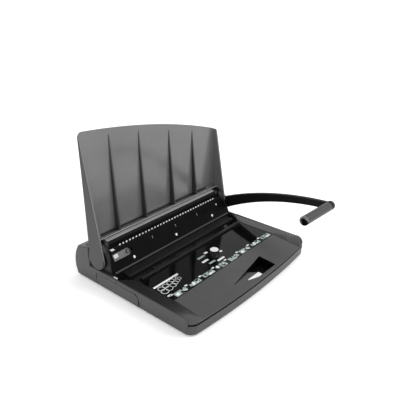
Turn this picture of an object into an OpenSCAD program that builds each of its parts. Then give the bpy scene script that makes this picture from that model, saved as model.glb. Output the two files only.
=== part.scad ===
// Wire binding machine: X along the tooth row, -Y to the front, Z up, table at Z = 0

/* [Base] */
// width of the base over its sides
base_w = 368; // [350:1:390]
// tooth row to the front edge, at the middle
base_front = 228; // [220:1:240]
// how far the front edge bows out
front_bow = 10; // [4:0.5:16]
// plan radius of the front corners
corner_r = 18; // [10:1:26]
// height of the side rims
side_h = 36; // [35:0.5:38]
// height of the front ridge
lip_h = 25.5; // [24:0.5:28]
// height of the dark groove under the front ridge
shadow_h = 2.6; // [1.5:0.1:3.5]
// depth of that groove
shadow_deep = 2; // [1:0.1:3]
// ridge to the groove's upper edge
shadow_drop = 0.9; // [0.6:0.1:2]
// height of the parting line between pan and shells
pan_h = 16; // [12:0.5:18]
// how far the pan stands back from the shells
pan_inset = 0.8; // [0.4:0.1:1.5]
// wall of the mouldings
wall = 2.5; // [1.8:0.1:3.5]
// height of the feet
foot_h = 2.5; // [2:0.1:4]
// radius of the feet
foot_r = 9; // [6:0.5:12]
// feet from the sides
foot_in = 24; // [18:1:30]
// tooth row to the seam at the side
seam_reach = 35; // [30:1:40]
// groove along the side seam
groove = 1.4; // [0.8:0.1:1.8]
// wall of the base's sides
rim_w = 6.5; // [5:0.5:8]
// width of the rims beside the tray
edge_w = 2.5; // [2:0.1:3.5]
// how far the rims fall towards the front
rim_fall = 1.5; // [0.5:0.1:2]
// rise of the shoulders beside the tray
shoulder_rise = 1.8; // [1.2:0.1:1.8]
// rise of the palm rest towards the rims
palm_rise = 7.5; // [6:0.5:9]
// width of the sloping shoulders beside the tray
shoulder_w = 23.5; // [16:0.5:28]
// upright step at the foot of the shoulders
shoulder_step = 0.6; // [0.3:0.1:1]
// top of the tray plate
deck_z = 33; // [32:0.5:34]
// thickness of the tray plate
deck_t = 2; // [1.5:0.1:3]
// width of the ledge under the tray plate
ledge_w = 3.5; // [2:0.5:5]
// tooth row to the palm rest
palm_reach = 156; // [150:1:162]
// tooth row to the drop of the rims at the front corners
rim_reach = 204; // [198:1:208]
// radius of the bulging back
rear_r = 68.5; // [66:0.5:72]
// height of the back's widest point
rear_mid = 27; // [22:1:32]
// height of the hump's top line over the pivot
hump_h = 81; // [79:0.5:83]
// fall of the hump's top in degrees
hump_fall = 12; // [6:1:18]
// radius of the screw heads under the pan
base_screw_r = 3.5; // [2.5:0.5:5]

/* [Finger pocket] */
// right end of the pocket
pocket_right = 65; // [50:1:80]
// left tip of the pocket
pocket_left = 52; // [40:1:60]
// back edge at the right end, from the tooth row
pocket_back = 181; // [176:1:188]
// back edge at the left tip, from the tooth row
pocket_tip = 202; // [196:1:208]
// front edge, from the tooth row
pocket_front = 219; // [214:1:221]
// height of the pocket's floor
pocket_floor = 12; // [9:0.5:18]
// where the floor begins to rise
pocket_ramp = 8; // [0:1:20]

/* [Pivot] */
// pivot axis behind the tooth row
pivot_y = 18.5; // [17:0.5:20]
// pivot axis above the table
pivot_z = 59; // [58:0.5:60]
// radius of the drive shaft
shaft_r = 6; // [5:0.5:6]
// skin over the end of the lid's left pivot
pivot_skin = 1.2; // [0.8:0.1:1.6]
// radius of the lid's left pivot pin
pin_r = 5; // [4:0.5:6]
// radial clearance of the running fits
fit = 0.05; // [0.02:0.01:0.08]
// clearance between parts that move
clear = 0.4; // [0.3:0.05:0.6]

/* [Lid] */
// lid's left end above the pivot
lid_left = 241; // [220:1:250]
// lid's right end above the pivot
lid_right = 171; // [150:1:190]
// how far the lid's top edge bows out
lid_bow = 11.5; // [4:0.5:18]
// radius of the lid's top corners
lid_corner_r = 9; // [4:0.5:14]
// lid's outer face behind the pivot
lid_back = 18.5; // [17.5:0.5:19.5]
// wall of the lid
lid_wall = 2.5; // [1.8:0.1:3]
// thickness of the lid's side flanges
flange_t = 4; // [3:0.5:5]
// gap between the top bar and the lid's lip
lip_gap = 2.2; // [1.6:0.1:2.6]
// thickness of the lid's lip
lip_t = 2.2; // [1.6:0.1:2.6]
// where the lid's lip ends, in degrees behind the pivot
lip_end = 36; // [34:1:50]
// lean of the lid's rim
lid_lean = 9.6; // [8:0.1:11]
// gap between closed lid and side rim
rest_gap = 1; // [0.6:0.1:2]
// middle of the four ribs
rib_mid = -5; // [-15:1:5]
// inner pair of ribs from that middle
rib_near = 41.5; // [30:0.5:50]
// outer pair of ribs from that middle
rib_far = 113.5; // [95:0.5:125]
// thickness of a rib
rib_t = 3.5; // [2:0.5:5]
// foot of a rib above the pivot
rib_low = 33; // [33:0.5:40]
// depth of a rib at its foot
rib_depth = 13.5; // [8:0.5:13.5]
// distance of a rib's tip from the lid's top edge
rib_tip = 11; // [5:0.5:25]

/* [Lever] */
// gap between lid and lever
lever_gap = 2; // [1:0.5:4]
// thickness of the lever arm
lever_t = 9; // [7:0.5:12]
// radius of the lever's hub
hub_r = 16; // [14:0.5:18]
// grip in front of the pivot
grip_reach = 280; // [275:1:300]
// grip above the pivot
grip_rise = 62.4; // [55:0.1:70]
// radius of the grip
grip_r = 9.5; // [8:0.5:12]
// length of the grip
grip_len = 94; // [85:1:120]
// radius of the steel core in the grip
core_r = 5; // [4:0.5:6]
// length of the grip's end cap
grip_cap = 4; // [3:0.5:6]
// width of the arm at the grip
arm_w = 14.7; // [13:0.1:19]
// arm is level this far in front of the pivot
arm_apex = 305; // [295:1:320]
// radius of the arm's upper edge
arm_top_r = 719; // [690:1:750]
// radius of the arm's lower edge
arm_low_r = 584; // [560:1:600]

/* [Punch] */
// least distance from the side frames to the end teeth
row_margin = 26; // [24:1:30]
// spacing of the teeth
pitch = 8.46667; // [8:0.00001:8.5]
// height at which the panel's plane meets the tooth row
panel_z = 78.2; // [77:0.1:79]
// lean of the panel
panel_lean = 25.7; // [22:0.1:28]
// thickness of the panel
panel_t = 1.6; // [1.2:0.1:1.8]
// top edge of the panel
panel_top = 76.6; // [76:0.1:77]
// panel's upper corners from the base's sides
panel_in = 18; // [17:0.5:20]
// half width gained by the panel per unit of height
panel_flare = 0.326; // [0.2:0.01:0.4]
// front face of the die plate behind the tooth row
die_y = 1.2; // [1.1:0.1:2]
// thickness of the die plate
die_t = 2.8; // [2:0.1:3.5]
// width of the paper throat
throat = 3; // [2:0.1:3.5]
// thickness of the guide plate
guide_t = 4.2; // [3:0.1:4.5]
// bottom edge of die plate and guide plate
plate_low = 63; // [62.5:0.5:66]
// height of the punch pins
punch_z = 71; // [70.5:0.1:71.5]
// radius of the punch pins
punch_r = 2; // [1.5:0.1:2.2]
// punch bar's ends beyond the end teeth
bar_end = 10.3; // [6:0.1:14]
// back face of the punch bar
bar_back = 34; // [33.8:0.1:34.2]
// depth of the punch bar
bar_depth = 17; // [14:0.5:17.5]
// height of the punch bar
bar_h = 8; // [6:0.5:8]
// outer radius of the rounded top bar
top_r = 31; // [30:0.5:31.5]
// thickness of the top bar
top_t = 2.5; // [1.5:0.1:2.5]
// width of the brackets at the top bar's ends
bracket_w = 6.5; // [4:0.5:8]
// lower back edge of the top bar
top_low = 72; // [70:0.5:76]
// thickness of the steel side frames
frame_t = 6; // [4:0.5:6]
// radius of the side frames
frame_r = 28.3; // [26:0.1:28.4]
// thickness of the tooth strip
comb_t = 0.8; // [0.6:0.1:1.2]
// width of a tooth
tooth_w = 4.4; // [3.5:0.1:5]
// thickness of a tooth
tooth_t = 1.6; // [1:0.1:2]
// height of a tooth
tooth_h = 3.6; // [1.5:0.1:4]
// radius of the shaft bushes
bush_r = 9; // [8:0.5:10]
// outer panel screws from the side frames
screw_in = 47; // [40:1:60]
// height of the panel screws
screw_z = 48; // [45:0.5:52]
// radius of the panel screws' heads
screw_r = 3.3; // [2.5:0.1:4]
// small screw from the right side frame
small_screw_in = 22.3; // [16:0.1:28]
// height of the small screw
small_screw_z = 65; // [60:0.5:68]
// radius of the small screw's head
small_screw_r = 2; // [1.5:0.1:2.5]

/* [Cranks] */
// punch cranks from the punch bar's ends
crank_in = 25; // [20:1:30]
// reach of a punch crank's tip behind the shaft
crank_reach = 20; // [19.8:0.1:20.2]
// rise of a punch crank's tip above the shaft
crank_rise = 12; // [11.5:0.1:12.5]
// radius of the crank tips
crank_tip = 4; // [3.8:0.1:4]
// width of a crank
crank_w = 8; // [6:0.5:10]
// wall of a crank's hub
crank_wall = 1.4; // [1:0.1:1.4]
// closer cranks from the punch cranks
crank_gap = 15; // [12:1:20]
// gap between a closer crank and its hook
pull_gap = 0.5; // [0.4:0.1:0.6]
// length of a closer crank
closer_crank = 24; // [23:0.5:24]

/* [Wire closer] */
// front face of the rear rail from the tooth row
rail_front = 45; // [42:0.5:47]
// back face of the rear rail from the tooth row
rail_back = 24; // [23.5:0.5:28]
// height of the rear rail over the tray
rail_h = 3.5; // [2:0.5:4]
// back face of the moving jaw from the tooth row
jaw_back = 62; // [60:0.5:66]
// depth of the moving jaw
jaw_depth = 8; // [6:0.5:10]
// height of the moving jaw
jaw_h = 4; // [3:0.5:5]
// moving jaw's ends from the tray's ends
jaw_in = 8; // [4:1:16]
// travel of the moving jaw
jaw_travel = 8.2; // [8:0.1:8.4]
// top of the pull rods
rod_top = 28; // [27:0.5:28.5]
// height of the pull rods
rod_h = 4; // [3:0.5:4.5]
// thickness of the hooks at the rods' ends
hook_t = 4; // [3:0.5:5]
// top of the hooks
hook_top = 40; // [38:0.5:42]

/* [Selector] */
// knob's middle from the tooth row
knob_reach = 117; // [110:1:122]
// radius of the knob
knob_r = 8.7; // [7:0.1:10]
// top of the knob
knob_top = 49; // [44:0.5:49.5]
// thickness of the knob's cap
cap_t = 0.8; // [0.5:0.1:1]
// radius of the knob's cap
cap_r = 6.8; // [5:0.1:7]
// radius of the spindle
spindle_r = 3; // [2:0.1:4]
// radius of the spindle's bush
spindle_bush_r = 6; // [5:0.1:6.5]
// depth of the bush under the tray plate
spindle_bush_h = 6; // [4:0.5:7]

/* [Edge guide] */
// edge guide's left end from the panel's upper corner
edge_in = 1; // [0:0.5:4]
// length of the edge guide
edge_len = 41; // [36:0.5:46]
// lower edge of the edge guide
edge_low = 57; // [55:0.5:59]
// upper edge of the edge guide
edge_high = 69; // [66:0.5:71]
// thickness of the edge guide
edge_t = 2.2; // [1.5:0.1:3]
// travel of the edge guide
edge_travel = 12; // [6:0.5:14]
// radius of the edge guide's knob
edge_knob_r = 4.5; // [3.5:0.1:5]
// height of the edge guide's knob
edge_knob_h = 3; // [2:0.1:3.5]
// radius of the knob's stem
stem_r = 2; // [1.5:0.1:2.5]

/* [Chip drawer] */
// drawer's front side from the tooth row
drawer_front = 94; // [88:1:100]
// drawer's back side behind the tooth row
drawer_back = 22; // [18:1:24]
// top of the drawer's face
drawer_top = 28; // [26:0.5:28.5]
// top of the drawer's box
drawer_box = 22; // [18:0.5:22]
// drawer's right end from the side frame
drawer_in = 16; // [10:1:30]
// drawer's box from the edges of its face
box_in = 1.5; // [1.5:0.1:3]
// joint round the drawer's face
face_gap = 0.8; // [0.4:0.1:1.2]
// thickness of the drawer's face
face_t = 3; // [2:0.5:4]
// radius of the face's front top corner
face_r = 11; // [6:0.5:14]
// wall of the drawer
drawer_wall = 1.8; // [1.2:0.1:2.5]

/* [Hidden] */
$fn = 72;
over = 1;
far = 500;
half_w = base_w / 2;
in_w = half_w - rim_w;
tray_w = half_w - edge_w;
tray_half = tray_w - shoulder_w;
rim_end = side_h - rim_fall;
bow_r = (half_w * half_w + front_bow * front_bow) / (2 * front_bow);
bow_y = bow_r - base_front;
seam_y = -seam_reach;
palm_y = -palm_reach;
floor_z = foot_h + wall;
deck_low = deck_z - deck_t;
palm_top = deck_z + shoulder_step;
palm_fall = atan((palm_top - lip_h) / (base_front - palm_reach));
foot_x = half_w - foot_in;
lid_in = lid_back - lid_wall;
arm_r = pivot_z - side_h - rest_gap;
lip_r = top_r + lip_gap;
lid_z_left = pivot_z + lid_left;
lid_z_right = pivot_z + lid_right;
lid_chord = sqrt(base_w * base_w + pow(lid_left - lid_right, 2));
lid_r = (lid_chord * lid_chord / 4 + lid_bow * lid_bow) / (2 * lid_bow);
lid_cx = -(lid_r - lid_bow) * (lid_left - lid_right) / lid_chord;
lid_cz = (lid_z_left + lid_z_right) / 2 - (lid_r - lid_bow) * base_w / lid_chord;
arm_x = half_w + lever_gap;
shaft_end = arm_x + lever_t;
panel_half = half_w - panel_in;
frame_x = panel_half;
top_half = frame_x - bracket_w;
teeth = floor(2 * (frame_x - row_margin) / pitch) + 1;
cheek_x = frame_x + frame_t;
panel_deep = panel_t / cos(panel_lean);
die_back = die_y + die_t;
guide_y = die_back + throat;
guide_back = guide_y + guide_t;
nose_r = pivot_y - guide_y;
nose_z = pivot_z + top_r - nose_r;
bar_front = bar_back - bar_depth;
row_x = -(teeth - 1) * pitch / 2;
bar_half = bar_end - row_x;
crank_r = shaft_r + crank_wall;
punch_crank_x = bar_half - crank_in;
closer_crank_x = punch_crank_x - crank_gap;
screw_x = frame_x - screw_in;
small_screw_x = frame_x - small_screw_in;
rod_w = crank_w;
rod_low = rod_top - rod_h;
jaw_half = tray_half - jaw_in;
jaw_front = jaw_back + jaw_depth;
jaw_low = deck_z + clear;
hook_y = pivot_y + crank_tip + pull_gap;
bush_low = deck_z - spindle_bush_h;
edge_r = (edge_high - edge_low) / 2;
edge_z = (edge_high + edge_low) / 2;
edge_left = panel_half - edge_in;
edge_knob_x = edge_len - edge_left - edge_r;
slot_half = stem_r + clear;
drawer_low = floor_z + clear;
drawer_right = frame_x - drawer_in;

function palm_z(reach) = palm_top - (reach - palm_reach) * tan(palm_fall);
function panel_y(z) = -(panel_z - z) * tan(panel_lean);
function lid_top(x) = lid_cz + sqrt(lid_r * lid_r - pow(x - lid_cx, 2));
function lid_corner_z(x) = lid_cz + sqrt(pow(lid_r - lid_corner_r, 2) - pow(x - lid_cx, 2));

// draws in the Y-Z plane, from x0 to x1
module along_x(x0, x1) {
    translate([x0, 0, 0])
        rotate([90, 0, 90])
            linear_extrude(x1 - x0)
                children();
}

// draws in the X-Z plane, from y0 to y1
module along_y(y0, y1) {
    translate([0, y1, 0])
        rotate([90, 0, 0])
            linear_extrude(y1 - y0)
                children();
}

module block(x0, x1, y0, y1, z0, z1) {
    translate([x0, y0, z0])
        cube([x1 - x0, y1 - y0, z1 - z0]);
}

module both() {
    children();
    mirror([1, 0, 0])
        children();
}

module pivot_disc(r) {
    translate([pivot_y, pivot_z])
        circle(r);
}

// stands on the panel's plane, outward along local Z
module on_panel(x, z) {
    translate([x, panel_y(z), z])
        rotate([90 - panel_lean, 0, 0])
            children();
}

// outline of the base seen from above
module plan(inset) {
    hw = half_w - inset;
    r = corner_r - inset;
    big = bow_r - inset;
    xc = hw - r;
    yc = bow_y - sqrt(pow(big - r, 2) - xc * xc);
    xt = xc + r * xc / (big - r);
    intersection() {
        translate([0, bow_y])
            circle(big, $fn = 720);
        translate([-xt, -base_front - over])
            square([2 * xt, yc + base_front + 2 * over]);
    }
    translate([-hw, yc])
        square([2 * hw, pivot_y + rear_r + over - yc]);
    for (s = [-1, 1])
        translate([s * xc, yc])
            circle(r);
}

// bulging back of the base
module back_profile(inset) {
    translate([pivot_y, rear_mid])
        circle(rear_r - inset, $fn = 144);
    translate([-far, -over])
        square([far + pivot_y, 2 * rear_r]);
}

module under_hump(inset) {
    translate([pivot_y, hump_h - inset])
        rotate(-hump_fall)
            translate([-far, -far])
                square([2 * far, far]);
}

module drawer_face(grow) {
    y0 = -drawer_front - grow;
    y1 = drawer_back + grow;
    z0 = drawer_low - grow;
    z1 = drawer_top + grow;
    r = face_r + grow;
    translate([y0 + r, z0])
        square([y1 - y0 - r, z1 - z0]);
    translate([y0, z0])
        square([r + over, z1 - r - z0]);
    translate([y0 + r, z1 - r])
        circle(r);
}

module drawer_opening() {
    along_x(-half_w - over, -in_w + over)
        drawer_face(face_gap);
}

module base_pan() {
    color([0.30, 0.30, 0.30])
        difference() {
            intersection() {
                translate([0, 0, foot_h])
                    linear_extrude(pan_h - foot_h)
                        plan(pan_inset);
                along_x(-far, far)
                    back_profile(pan_inset);
            }
            intersection() {
                translate([0, 0, floor_z])
                    linear_extrude(pan_h)
                        plan(pan_inset + wall);
                along_x(-far, far)
                    back_profile(pan_inset + wall);
            }
            drawer_opening();
        }
}

module pocket_solid(grow) {
    intersection() {
        linear_extrude(far)
            polygon([
                [pocket_right + grow, -pocket_back + grow],
                [pocket_right + grow, -pocket_front - grow],
                [pocket_ramp, -pocket_front - grow],
                [-pocket_left - 2 * grow, -pocket_tip - grow],
                [-pocket_left - 2 * grow, -pocket_tip + grow]
            ]);
        along_y(-far, far)
            polygon([
                [-pocket_left, palm_z(pocket_tip) + over - grow],
                [pocket_ramp, pocket_floor - grow],
                [far, pocket_floor - grow],
                [far, far],
                [-far, far],
                [-far, palm_z(pocket_tip) + over - grow]
            ]);
    }
}

module rim_profile() {
    fall = (rim_end - lip_h) / (base_front - rim_reach);
    polygon([
        [seam_y, 0],
        [seam_y, side_h],
        [-rim_reach, rim_end],
        [-base_front - over, lip_h - fall * over],
        [-base_front - over, 0]
    ]);
}

// all that lies deeper than drop under the palm rest
module palm_profile(drop) {
    polygon([
        [seam_y, 0],
        [seam_y, palm_top - drop],
        [palm_y, palm_top - drop],
        [-base_front - over, palm_z(base_front + over) - drop],
        [-base_front - over, 0]
    ]);
}

// space above tray or palm rest, its floor at local height 0
module tray_profile(spread, rise) {
    low = tray_half - spread;
    high = tray_w + spread;
    polygon([
        [-low, 0],
        [-low, shoulder_step],
        [-high, rise],
        [-high, far],
        [high, far],
        [high, rise],
        [low, shoulder_step],
        [low, 0]
    ]);
}

module tray_cut(y0, y1) {
    block(-tray_w, tray_w, y0, y1, deck_low, far);
}

module palm_cut() {
    translate([0, palm_y, palm_top])
        rotate([palm_fall, 0, 0])
            along_y(-far, over)
                tray_profile(over, palm_rise);
}

module palm_cavity() {
    intersection() {
        linear_extrude(deck_low - ledge_w)
            plan(rim_w);
        along_x(-in_w, in_w)
            palm_profile(2 * wall);
        block(-far, far, -far, palm_y + over, 0, far);
    }
}

module shadow_groove() {
    translate([0, 0, lip_h - shadow_drop - shadow_h])
        linear_extrude(shadow_h)
            difference() {
                translate([-far, -far])
                    square([2 * far, far - base_front + corner_r]);
                plan(shadow_deep);
            }
}

module base_housing() {
    color([0.32, 0.32, 0.32])
        difference() {
            union() {
                difference() {
                    intersection() {
                        translate([0, 0, pan_h])
                            linear_extrude(side_h - pan_h)
                                plan(0);
                        along_x(-half_w, half_w)
                            rim_profile();
                    }
                    palm_cavity();
                }
                intersection() {
                    pocket_solid(wall);
                    along_x(-far, far)
                        palm_profile(wall);
                }
            }
            tray_cut(palm_y, seam_y + over);
            palm_cut();
            block(-in_w, in_w, palm_y, seam_y + over, 0, deck_low - ledge_w);
            block(ledge_w - in_w, in_w - ledge_w, palm_y + ledge_w, seam_y + over, 0, deck_z);
            pocket_solid(0);
            drawer_opening();
            both()
                block(half_w - groove, half_w + over, seam_y - groove, seam_y + over, 0, far);
            block(-far, far, seam_y - groove, seam_y + over, side_h - groove, far);
            shadow_groove();
        }
}

module rear_cover() {
    color([0.33, 0.33, 0.33])
        difference() {
            intersection() {
                along_x(-half_w, half_w)
                    intersection() {
                        back_profile(0);
                        under_hump(0);
                    }
                union() {
                    block(-far, far, seam_y, far, pan_h, side_h);
                    block(-far, far, pivot_y + arm_r, far, pan_h, far);
                }
            }
            tray_cut(seam_y - over, -rail_back);
            along_x(-in_w, in_w)
                intersection() {
                    back_profile(wall);
                    under_hump(wall);
                    translate([-rail_back, 0])
                        square([far, far]);
                }
            block(-in_w, in_w, seam_y - over, -rail_back + over, 0, deck_low);
            along_x(-in_w, in_w)
                pivot_disc(top_r + clear);
            along_x(-far, far)
                pivot_disc(arm_r + rest_gap);
            drawer_opening();
        }
}

module foot(x, y) {
    translate([x, y, 0])
        cylinder(r = foot_r, h = foot_h);
}

module rubber_feet() {
    color([0.08, 0.08, 0.08]) {
        foot(0, 0);
        for (s = [-1, 1]) {
            foot(s * foot_x, rear_r);
            foot(s * foot_x, -pocket_tip);
        }
    }
}

module base_screws() {
    color([0.6, 0.6, 0.62])
        for (s = [-1, 1]) {
            translate([s * foot_x, rear_r - 3 * foot_r, foot_h / 2])
                cylinder(r = base_screw_r, h = foot_h / 2);
            translate([s * foot_x, 3 * foot_r - pocket_tip, foot_h / 2])
                cylinder(r = base_screw_r, h = foot_h / 2);
        }
}

module deck_plate() {
    color([0.09, 0.09, 0.09])
        difference() {
            union() {
                block(-in_w, in_w, palm_y, panel_y(deck_z) + panel_deep, deck_low, deck_z);
                block(-tray_w, tray_w, palm_y, -rail_back, deck_low, deck_z + shoulder_rise);
            }
            translate([0, 0, deck_z])
                along_y(palm_y - over, over - rail_back)
                    tray_profile(0, shoulder_rise);
            both()
                block(
                    closer_crank_x - rod_w / 2 - clear,
                    closer_crank_x + rod_w / 2 + clear,
                    -jaw_front - clear,
                    -jaw_back + jaw_travel + clear,
                    0,
                    far
                );
            translate([0, -knob_reach, 0])
                cylinder(r = spindle_bush_r, h = far);
        }
}

// slanted sheet of the panel, front face moved out by lift
module slanted(z0, z1, lift, depth) {
    shift = lift / cos(panel_lean);
    along_x(-in_w, in_w)
        polygon([
            [panel_y(z0) - shift, z0],
            [panel_y(z1) - shift, z1],
            [panel_y(z1) - shift + depth, z1],
            [panel_y(z0) - shift + depth, z0]
        ]);
}

module panel_outline() {
    low = panel_half + panel_flare * (panel_z - deck_z);
    along_y(-far, far)
        polygon([[-low, deck_z], [low, deck_z], [panel_half, panel_z], [-panel_half, panel_z]]);
}

module edge_slot() {
    on_panel(edge_knob_x, edge_z)
        translate([0, 0, -far / 2])
            linear_extrude(far) {
                circle(slot_half);
                translate([edge_travel, 0])
                    circle(slot_half);
                translate([0, -slot_half])
                    square([edge_travel, 2 * slot_half]);
            }
}

module screw_shanks() {
    for (x = [-screw_x, 0, screw_x])
        on_panel(x, screw_z)
            translate([0, 0, -2 * panel_t])
                cylinder(r = screw_r / 2, h = 2 * panel_t);
    on_panel(small_screw_x, small_screw_z)
        translate([0, 0, -2 * panel_t])
            cylinder(r = small_screw_r / 2, h = 2 * panel_t);
}

module punch_panel() {
    color([0.07, 0.07, 0.07])
        difference() {
            intersection() {
                slanted(deck_z, panel_top, 0, panel_deep);
                panel_outline();
            }
            edge_slot();
            screw_shanks();
        }
}

module panel_screws() {
    color([0.72, 0.72, 0.72]) {
        screw_shanks();
        for (x = [-screw_x, 0, screw_x])
            on_panel(x, screw_z)
                cylinder(r = screw_r, h = panel_t);
        on_panel(small_screw_x, small_screw_z)
            cylinder(r = small_screw_r, h = panel_t / 2);
    }
}

// end of the punch seen from the side, behind the panel
module end_profile(r) {
    intersection() {
        polygon([
            [panel_y(0) + panel_deep, 0],
            [panel_y(far) + panel_deep, far],
            [far, far],
            [far, 0]
        ]);
        union() {
            pivot_disc(r);
            translate([panel_y(0), deck_z])
                square([pivot_y + arm_r - panel_y(0), pivot_z - deck_z]);
        }
    }
}

module end_cheeks() {
    color([0.34, 0.34, 0.34])
        difference() {
            union() {
                both()
                    along_x(cheek_x, in_w)
                        end_profile(top_r);
                difference() {
                    slanted(deck_z, panel_top, 0, panel_deep);
                    panel_outline();
                }
            }
            along_x(-far, 0)
                pivot_disc(pin_r);
            along_x(0, far)
                pivot_disc(shaft_r + over);
        }
}

module side_frames() {
    color([0.45, 0.45, 0.46])
        difference() {
            both()
                along_x(frame_x, cheek_x) {
                    end_profile(frame_r);
                    translate([drawer_back + 2 * wall, floor_z])
                        square([pivot_y + arm_r - drawer_back - 2 * wall, pivot_z - floor_z]);
                }
            along_x(-far, far)
                pivot_disc(bush_r);
        }
}

module row_of_holes(r, y0, y1) {
    along_y(y0, y1)
        for (i = [0 : teeth - 1])
            translate([row_x + i * pitch, punch_z])
                circle(r, $fn = 24);
}

module die_plate() {
    color([0.55, 0.55, 0.56])
        difference() {
            block(-frame_x, frame_x, die_y, die_back, plate_low, panel_top);
            row_of_holes(punch_r + 2 * fit, die_y - over, die_back + over);
        }
}

module guide_plate() {
    color([0.16, 0.16, 0.16])
        difference() {
            block(-frame_x, frame_x, guide_y, guide_back, plate_low, nose_z);
            row_of_holes(punch_r + fit, guide_y - over, guide_back + over);
        }
}

module hook_comb() {
    color([0.88, 0.88, 0.88]) {
        block(-frame_x, frame_x, panel_y(panel_top), die_back, panel_top, panel_top + comb_t);
        for (i = [0 : teeth - 1])
            translate([row_x + i * pitch, panel_y(panel_top), panel_top + comb_t])
                block(-tooth_w / 2, tooth_w / 2, 0, tooth_t, 0, tooth_h);
    }
}

// bar's section: round nose in front, wide arc behind, down to height low
module bar_section(t, low) {
    intersection() {
        translate([pivot_y, nose_z])
            difference() {
                circle(nose_r);
                circle(nose_r - t);
            }
        translate([guide_y - over, nose_z])
            square([nose_r + over, far]);
    }
    intersection() {
        difference() {
            pivot_disc(top_r);
            pivot_disc(top_r - t);
        }
        translate([pivot_y, low])
            square([far, far]);
    }
}

module top_bar() {
    color([0.60, 0.60, 0.60])
        along_x(-top_half, top_half)
            bar_section(top_t, top_low);
}

module bar_brackets() {
    color([0.06, 0.06, 0.06])
        both()
            along_x(top_half, frame_x)
                bar_section(3 * top_t, pivot_z);
}

module shaft_bushes() {
    color([0.62, 0.48, 0.26])
        both()
            along_x(frame_x, cheek_x)
                difference() {
                    pivot_disc(bush_r);
                    pivot_disc(shaft_r + fit);
                }
}

module lid_pivot_pin() {
    color([0.66, 0.66, 0.68])
        along_x(pivot_skin + clear - half_w, -cheek_x)
            pivot_disc(pin_r);
}

module return_spring() {
    color([0.58, 0.58, 0.60])
        along_x(-frame_x, -punch_crank_x - crank_w)
            difference() {
                pivot_disc(crank_r + clear / 2);
                pivot_disc(shaft_r + clear);
            }
}

module closer_rear_rail() {
    color([0.10, 0.10, 0.10])
        block(-tray_half, tray_half, -rail_front, -rail_back, deck_z, deck_z + rail_h);
}

module knob_bush() {
    color([0.70, 0.70, 0.70])
        translate([0, -knob_reach, bush_low])
            difference() {
                cylinder(r = spindle_bush_r, h = spindle_bush_h);
                translate([0, 0, -over])
                    cylinder(r = spindle_r + fit, h = far);
            }
}

// lid's outline seen from the front
module lid_outline() {
    xc = half_w - lid_corner_r;
    zl = lid_corner_z(-xc);
    zr = lid_corner_z(xc);
    tl = -xc + lid_corner_r * (-xc - lid_cx) / (lid_r - lid_corner_r);
    tr = xc + lid_corner_r * (xc - lid_cx) / (lid_r - lid_corner_r);
    intersection() {
        translate([lid_cx, lid_cz])
            circle(lid_r, $fn = 720);
        translate([tl, pivot_z])
            square([tr - tl, far]);
    }
    translate([-half_w, pivot_z])
        square([tl + half_w, zl - pivot_z]);
    translate([tr, pivot_z])
        square([half_w - tr, zr - pivot_z]);
    translate([-xc, zl])
        circle(lid_corner_r);
    translate([xc, zr])
        circle(lid_corner_r);
}

// lid's flange seen from the side, in front of its outer face
module flange_profile() {
    intersection() {
        translate([pivot_y, pivot_z])
            rotate(-lid_lean)
                translate([-arm_r, 0])
                    square([far, far]);
        translate([-far, pivot_z])
            square([far + pivot_y + lid_back, far]);
    }
}

// panel and the lip that wraps the top bar
module lid_panel() {
    block(
        -half_w,
        half_w,
        pivot_y + lid_in,
        pivot_y + lid_back,
        pivot_z + lid_in,
        far
    );
    along_x(-half_w, half_w)
        intersection() {
            pivot_disc(lip_r + lip_t);
            translate([pivot_y, pivot_z])
                polygon([
                    [0, 0],
                    [far * cos(lip_end), far * sin(lip_end)],
                    [lid_back, far],
                    [lid_in, far]
                ]);
        }
}

module lid_shell() {
    color([0.38, 0.38, 0.38])
        difference() {
            union() {
                intersection() {
                    along_y(-far, far)
                        lid_outline();
                    union() {
                        difference() {
                            lid_panel();
                            along_x(flange_t - half_w, half_w - flange_t)
                                pivot_disc(lip_r);
                            along_x(-half_w, half_w)
                                pivot_disc(lip_r - lip_t);
                        }
                        both()
                            along_x(half_w - flange_t, half_w)
                                flange_profile();
                    }
                }
                both()
                    along_x(half_w - flange_t, half_w)
                        pivot_disc(arm_r);
            }
            along_x(pivot_skin - half_w, 0)
                pivot_disc(pin_r + fit);
            along_x(0, far)
                pivot_disc(shaft_r + fit);
        }
}

module rib(x) {
    y = pivot_y + lid_in;
    z = pivot_z + rib_low;
    along_x(x - rib_t / 2, x + rib_t / 2)
        polygon([[y, z], [y - rib_depth, z + lid_wall], [y, lid_top(x) - rib_tip]]);
}

module lid_ribs() {
    color([0.26, 0.26, 0.26])
        for (s = [-1, 1]) {
            rib(rib_mid + s * rib_near);
            rib(rib_mid + s * rib_far);
        }
}

module drive_shaft() {
    color([0.66, 0.66, 0.68])
        along_x(-cheek_x, shaft_end)
            pivot_disc(shaft_r);
}

module lever_arm() {
    heel = hub_r + over;
    color([0.06, 0.06, 0.06])
        along_x(arm_x, shaft_end)
            translate([pivot_y, pivot_z])
                difference() {
                    union() {
                        circle(hub_r);
                        translate([-shaft_r, -2 * shaft_r])
                            circle(heel);
                        translate([-grip_reach, grip_rise])
                            circle(grip_r);
                        intersection() {
                            difference() {
                                translate([-arm_apex, grip_rise + arm_w / 2 - arm_top_r])
                                    circle(arm_top_r, $fn = 720);
                                translate([-arm_apex, grip_rise - arm_w / 2 - arm_low_r])
                                    circle(arm_low_r, $fn = 720);
                            }
                            translate([-grip_reach, -2 * hub_r])
                                square([grip_reach - shaft_r, far]);
                        }
                    }
                    circle(shaft_r);
                }
}

module lever_screw() {
    color([0.12, 0.12, 0.12])
        along_x(shaft_end, shaft_end + lever_gap)
            pivot_disc(bush_r);
}

module grip_bar(x0, x1, r) {
    along_x(x0, x1)
        translate([pivot_y - grip_reach, pivot_z + grip_rise])
            circle(r);
}

module grip_core() {
    color([0.66, 0.66, 0.68])
        grip_bar(arm_x - grip_len, arm_x, core_r);
}

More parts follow.
